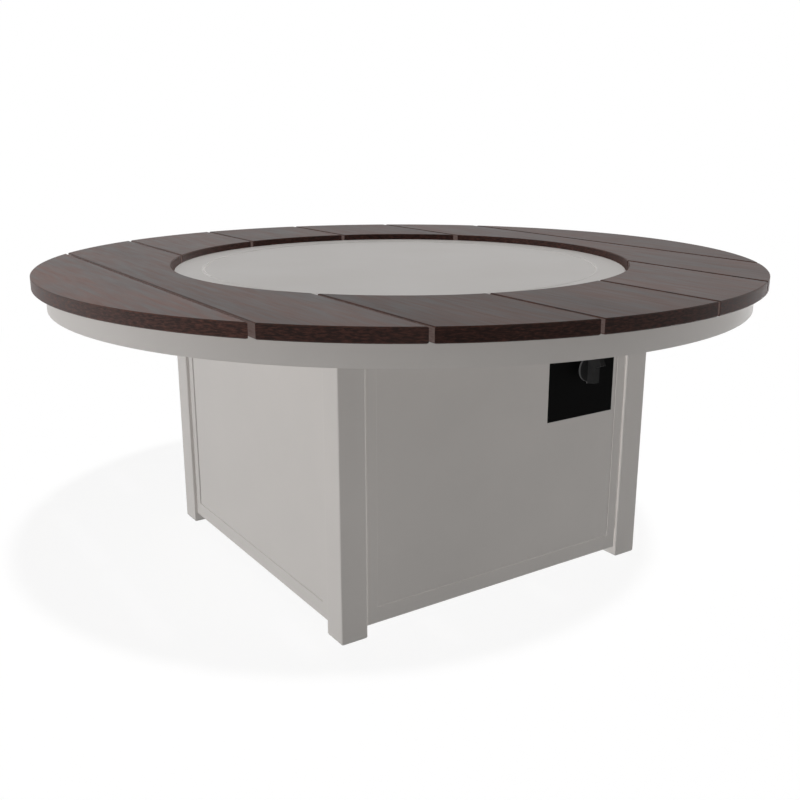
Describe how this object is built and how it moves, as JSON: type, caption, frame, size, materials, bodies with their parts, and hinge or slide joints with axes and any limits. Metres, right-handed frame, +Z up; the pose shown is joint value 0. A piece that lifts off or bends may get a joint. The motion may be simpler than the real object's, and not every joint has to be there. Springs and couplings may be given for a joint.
{
  "type": "gas fire pit table",
  "caption": "Round gas fire pit table with a dark boarded top, a flush lift-off burner cover, a square panelled base with an access door, and a push-and-turn gas knob.",
  "frame": {"origin": "on the floor under the centre of the round top", "axes": "+Z up, -Y towards the front with the control knob, +X to the right seen from the front"},
  "size_m": [1.5238, 1.524, 0.6477],
  "materials": {
    "dark_wood": "satin",
    "grey_powder_coat": "matte",
    "grey_plastic": "matte",
    "zinc_steel": "satin",
    "stainless_steel": "satin",
    "brass": "satin",
    "aluminium_tube": "satin",
    "black_plastic": "matte",
    "black_coat": "matte",
    "white_ceramic": "gloss"
  },
  "bodies": {
    "table": {"board_left_edge": "dark_wood", "board_left_bitten": "dark_wood", "board_left_front": "dark_wood", "board_left_back": "dark_wood", "board_middle_front": "dark_wood", "board_middle_back": "dark_wood", "board_right_front": "dark_wood", "board_right_back": "dark_wood", "board_right_bitten": "dark_wood", "board_right_edge": "dark_wood", "top_arm_1": "grey_powder_coat", "top_arm_2": "grey_powder_coat", "top_arm_3": "grey_powder_coat", "top_arm_4": "grey_powder_coat", "top_arm_5": "grey_powder_coat", "top_arm_6": "grey_powder_coat", "top_arm_7": "grey_powder_coat", "top_arm_8": "grey_powder_coat", "leg_front_left": "grey_powder_coat", "leg_front_right": "grey_powder_coat", "leg_back_right": "grey_powder_coat", "leg_back_left": "grey_powder_coat", "upper_rail_front": "grey_powder_coat", "upper_rail_right": "grey_powder_coat", "upper_rail_back": "grey_powder_coat", "upper_rail_left": "grey_powder_coat", "lower_rail_front": "grey_powder_coat", "lower_rail_right": "grey_powder_coat", "lower_rail_back": "grey_powder_coat", "lower_rail_left": "grey_powder_coat", "rim_hoop": "grey_powder_coat", "carry_ring": "grey_powder_coat", "front_panel": "grey_powder_coat", "right_panel": "grey_powder_coat", "left_panel": "grey_powder_coat", "burner_deck": "grey_powder_coat", "bottle_tray": "grey_powder_coat", "foot_plugs": "grey_plastic", "hinge_leaves_leg": "zinc_steel", "hinge_pins": "zinc_steel", "board_screws": "zinc_steel", "burner_pan": "stainless_steel", "ring_burner": "stainless_steel", "flame_sensor": "stainless_steel", "burner_locknut": "brass", "air_mixer": "brass", "valve_body": "brass", "gas_inlet": "brass", "gas_tube": "aluminium_tube", "door_magnet": "black_plastic", "control_plate": "black_coat", "spark_electrode": "white_ceramic"},
    "cover": {"burner_cover": "grey_powder_coat", "cover_hoop": "grey_powder_coat"},
    "door": {"access_door": "grey_powder_coat", "hinge_leaves_door": "zinc_steel", "door_strike": "zinc_steel"},
    "valve_push": {"push_rod": "zinc_steel"},
    "knob": {"knob": "black_plastic", "valve_stem": "zinc_steel"}
  },
  "joints": [
    {"name": "cover_lift", "type": "slide", "parent": "table", "child": "cover", "axis": [0, 0, 1], "range_m": [0, 0.3]},
    {"name": "door_swing", "type": "hinge", "parent": "table", "child": "door", "pos_m": [-0.323, 0.383, 0.3], "axis": [0, 0, 1], "range_deg": [0, 105]},
    {"name": "knob_push", "type": "slide", "parent": "table", "child": "valve_push", "axis": [0, 1, 0], "range_m": [0, 0.004], "stiffness_N_per_m": 1200, "springref_m": -0.003},
    {"name": "knob_turn", "type": "hinge", "parent": "valve_push", "child": "knob", "pos_m": [0.2, -0.37, 0.4515], "axis": [0, -1, 0], "range_deg": [0, 210]}
  ]
}
